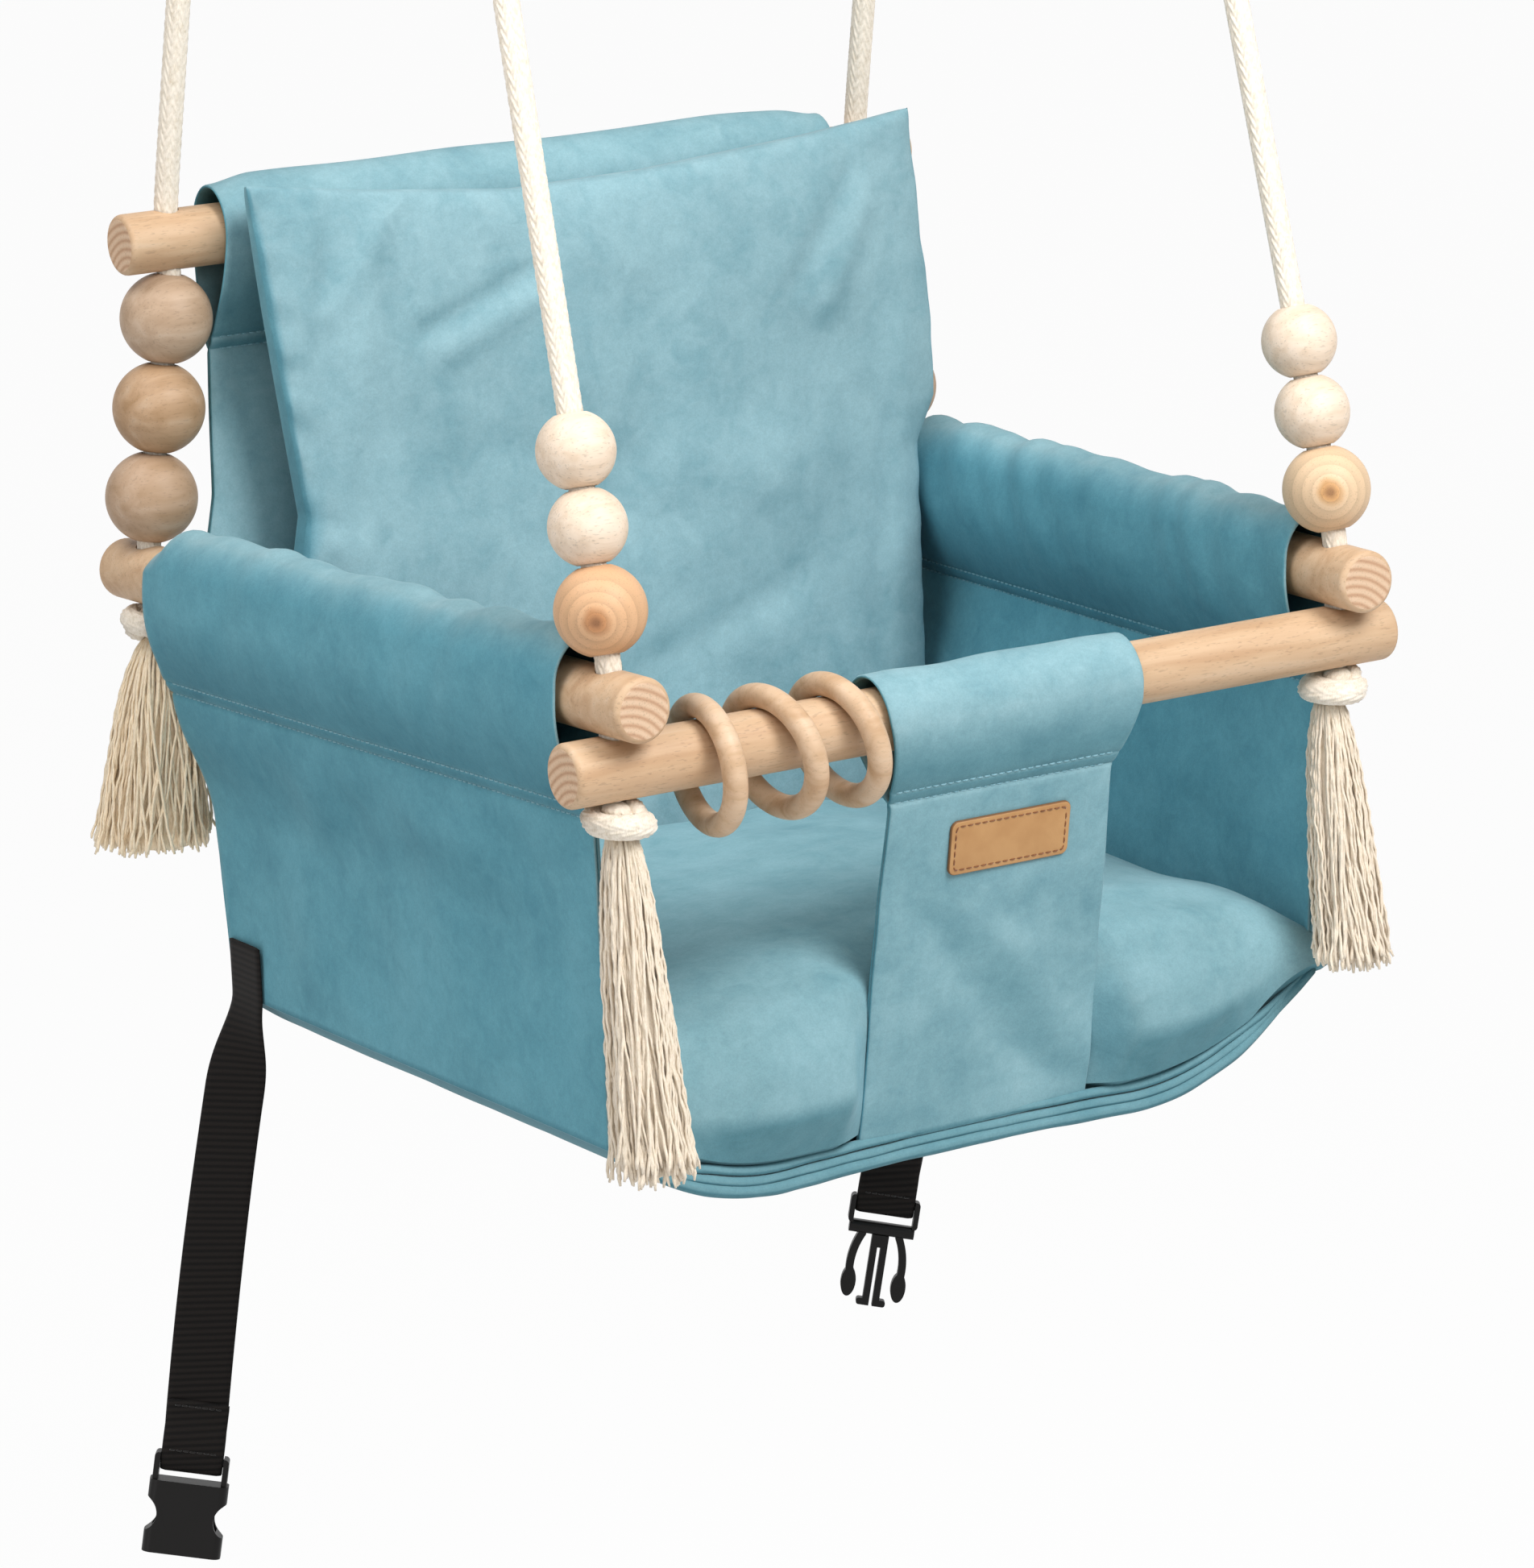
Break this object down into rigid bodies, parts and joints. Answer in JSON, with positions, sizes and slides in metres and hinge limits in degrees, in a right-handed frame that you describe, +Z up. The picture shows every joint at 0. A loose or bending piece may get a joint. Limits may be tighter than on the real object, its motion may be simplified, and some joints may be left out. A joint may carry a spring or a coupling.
{
  "type": "toddler bucket swing",
  "caption": "Hanging fabric bucket seat on wooden dowels and ropes, with beads, toy rings, tassels, cushions, crotch flap and buckle straps.",
  "frame": {"origin": "middle of the four rope eyes, at the level where hooks carry them", "axes": "+X to the viewer's right facing the seat's open front, +Y to the back, +Z up"},
  "size_m": [0.44, 0.4016, 0.769],
  "materials": {
    "turned_beech_dowel": "fine sanded, uncoated",
    "pale_beech_bead": "turned and sanded",
    "end_grain_bead": "turned, end grain showing",
    "turned_maple_bead": "turned and sanded",
    "turned_maple_ring": "turned and sanded",
    "velvet_cushion": "short pile velvet",
    "velvet_shell": "short pile velvet",
    "tan_leather": "burnished edge",
    "cotton_yarn": "combed strands",
    "braided_cotton": "braided",
    "nylon_webbing": "woven",
    "moulded_acetal": "moulded"
  },
  "bodies": {
    "hung_seat": {"front_dowel": "turned_beech_dowel", "back_dowel": "turned_beech_dowel", "left_arm_dowel": "turned_beech_dowel", "right_arm_dowel": "turned_beech_dowel", "left_side_panel": "velvet_shell", "right_side_panel": "velvet_shell", "seat_base": "velvet_shell", "back_panel": "velvet_shell", "crotch_flap": "velvet_shell", "leather_patch": "tan_leather", "seat_cushion": "velvet_cushion", "back_cushion": "velvet_cushion", "left_strap_tab": "nylon_webbing", "right_strap_tab": "nylon_webbing", "front_left_rope": "braided_cotton", "front_left_stopper_knot": "braided_cotton", "front_left_rope_eye": "braided_cotton", "front_right_rope": "braided_cotton", "front_right_stopper_knot": "braided_cotton", "front_right_rope_eye": "braided_cotton", "rear_left_rope": "braided_cotton", "rear_left_stopper_knot": "braided_cotton", "rear_left_rope_eye": "braided_cotton", "rear_right_rope": "braided_cotton", "rear_right_stopper_knot": "braided_cotton", "rear_right_rope_eye": "braided_cotton"},
    "front_left_large_bead": {"front_left_large_bead": "end_grain_bead"},
    "front_left_lower_small_bead": {"front_left_lower_small_bead": "pale_beech_bead"},
    "front_left_upper_small_bead": {"front_left_upper_small_bead": "pale_beech_bead"},
    "rear_left_lower_bead": {"rear_left_lower_bead": "turned_maple_bead"},
    "rear_left_middle_bead": {"rear_left_middle_bead": "turned_maple_bead"},
    "rear_left_upper_bead": {"rear_left_upper_bead": "turned_maple_bead"},
    "front_left_tassel": {"front_left_tassel": "cotton_yarn"},
    "rear_left_tassel": {"rear_left_tassel": "cotton_yarn"},
    "front_right_large_bead": {"front_right_large_bead": "end_grain_bead"},
    "front_right_lower_small_bead": {"front_right_lower_small_bead": "pale_beech_bead"},
    "front_right_upper_small_bead": {"front_right_upper_small_bead": "pale_beech_bead"},
    "rear_right_lower_bead": {"rear_right_lower_bead": "turned_maple_bead"},
    "rear_right_middle_bead": {"rear_right_middle_bead": "turned_maple_bead"},
    "rear_right_upper_bead": {"rear_right_upper_bead": "turned_maple_bead"},
    "front_right_tassel": {"front_right_tassel": "cotton_yarn"},
    "rear_right_tassel": {"rear_right_tassel": "cotton_yarn"},
    "left_toy_ring": {"left_toy_ring": "turned_maple_ring"},
    "middle_toy_ring": {"middle_toy_ring": "turned_maple_ring"},
    "right_toy_ring": {"right_toy_ring": "turned_maple_ring"},
    "left_strap": {"left_strap": "nylon_webbing"},
    "buckle_socket": {"buckle_socket": "moulded_acetal"},
    "right_strap": {"right_strap": "nylon_webbing"},
    "buckle_plug": {"buckle_plug": "moulded_acetal"}
  },
  "joints": [
    {"name": "front_left_large_bead_slide", "type": "slide", "parent": "hung_seat", "child": "front_left_large_bead", "axis": [0.0192, 0.2419, 0.9701], "range_m": [0, 0.189]},
    {"name": "front_left_lower_small_bead_slide", "type": "slide", "parent": "hung_seat", "child": "front_left_lower_small_bead", "axis": [0.0192, 0.2419, 0.9701], "range_m": [0, 0.189]},
    {"name": "front_left_upper_small_bead_slide", "type": "slide", "parent": "hung_seat", "child": "front_left_upper_small_bead", "axis": [0.0192, 0.2419, 0.9701], "range_m": [0, 0.189]},
    {"name": "rear_left_lower_bead_spin", "type": "hinge", "parent": "hung_seat", "child": "rear_left_lower_bead", "pos_m": [-0.18274, 0.14876, -0.31809], "axis": [0.1614, 0.0042, 0.9869], "continuous": true},
    {"name": "rear_left_middle_bead_spin", "type": "hinge", "parent": "hung_seat", "child": "rear_left_middle_bead", "pos_m": [-0.17679, 0.14892, -0.28175], "axis": [0.1614, 0.0042, 0.9869], "continuous": true},
    {"name": "rear_left_upper_bead_spin", "type": "hinge", "parent": "hung_seat", "child": "rear_left_upper_bead", "pos_m": [-0.17085, 0.14907, -0.24541], "axis": [0.1614, 0.0042, 0.9869], "continuous": true},
    {"name": "front_left_tassel_swing", "type": "hinge", "parent": "hung_seat", "child": "front_left_tassel", "pos_m": [-0.168, -0.18685, -0.4106], "axis": [-1, 0, 0], "range_deg": [0, 55]},
    {"name": "rear_left_tassel_swing", "type": "hinge", "parent": "hung_seat", "child": "rear_left_tassel", "pos_m": [-0.18558, 0.14869, -0.3856], "axis": [1, 0, 0], "range_deg": [0, 55]},
    {"name": "front_right_large_bead_slide", "type": "slide", "parent": "hung_seat", "child": "front_right_large_bead", "axis": [-0.0192, 0.2419, 0.9701], "range_m": [0, 0.189]},
    {"name": "front_right_lower_small_bead_slide", "type": "slide", "parent": "hung_seat", "child": "front_right_lower_small_bead", "axis": [-0.0192, 0.2419, 0.9701], "range_m": [0, 0.189]},
    {"name": "front_right_upper_small_bead_slide", "type": "slide", "parent": "hung_seat", "child": "front_right_upper_small_bead", "axis": [-0.0192, 0.2419, 0.9701], "range_m": [0, 0.189]},
    {"name": "rear_right_lower_bead_spin", "type": "hinge", "parent": "hung_seat", "child": "rear_right_lower_bead", "pos_m": [0.18274, 0.14876, -0.31809], "axis": [-0.1614, 0.0042, 0.9869], "continuous": true},
    {"name": "rear_right_middle_bead_spin", "type": "hinge", "parent": "hung_seat", "child": "rear_right_middle_bead", "pos_m": [0.17679, 0.14892, -0.28175], "axis": [-0.1614, 0.0042, 0.9869], "continuous": true},
    {"name": "rear_right_upper_bead_spin", "type": "hinge", "parent": "hung_seat", "child": "rear_right_upper_bead", "pos_m": [0.17085, 0.14907, -0.24541], "axis": [-0.1614, 0.0042, 0.9869], "continuous": true},
    {"name": "front_right_tassel_swing", "type": "hinge", "parent": "hung_seat", "child": "front_right_tassel", "pos_m": [0.168, -0.18685, -0.4106], "axis": [-1, 0, 0], "range_deg": [0, 55]},
    {"name": "rear_right_tassel_swing", "type": "hinge", "parent": "hung_seat", "child": "rear_right_tassel", "pos_m": [0.18558, 0.14869, -0.3856], "axis": [1, 0, 0], "range_deg": [0, 55]},
    {"name": "left_toy_ring_slide", "type": "slide", "parent": "hung_seat", "child": "left_toy_ring", "axis": [1, 0, 0], "range_m": [-0.02, 0.012]},
    {"name": "middle_toy_ring_slide", "type": "slide", "parent": "hung_seat", "child": "middle_toy_ring", "axis": [1, 0, 0], "range_m": [-0.012, 0.016]},
    {"name": "right_toy_ring_slide", "type": "slide", "parent": "hung_seat", "child": "right_toy_ring", "axis": [1, 0, 0], "range_m": [-0.016, 0.004]},
    {"name": "left_strap_swing", "type": "hinge", "parent": "hung_seat", "child": "left_strap", "pos_m": [-0.17246, 0.11015, -0.5261], "axis": [0, 1, 0], "range_deg": [-35, 70]},
    {"name": "buckle_socket_tilt", "type": "hinge", "parent": "left_strap", "child": "buckle_socket", "pos_m": [-0.21133, 0.11015, -0.71718], "axis": [0.831, -0.5299, -0.1691], "range_deg": [-60, 60]},
    {"name": "right_strap_swing", "type": "hinge", "parent": "hung_seat", "child": "right_strap", "pos_m": [0.17246, 0.11015, -0.5261], "axis": [0, 1, 0], "range_deg": [-80, 15]},
    {"name": "buckle_plug_tilt", "type": "hinge", "parent": "right_strap", "child": "buckle_plug", "pos_m": [0.13804, 0.11015, -0.67518], "axis": [0.8263, -0.5299, -0.1908], "range_deg": [-60, 60]}
  ],
  "couplings": [
    {"joint": "front_left_lower_small_bead_slide", "follows": "front_left_large_bead_slide", "ratio": 1},
    {"joint": "front_left_upper_small_bead_slide", "follows": "front_left_large_bead_slide", "ratio": 1},
    {"joint": "front_right_lower_small_bead_slide", "follows": "front_right_large_bead_slide", "ratio": 1},
    {"joint": "front_right_upper_small_bead_slide", "follows": "front_right_large_bead_slide", "ratio": 1}
  ]
}
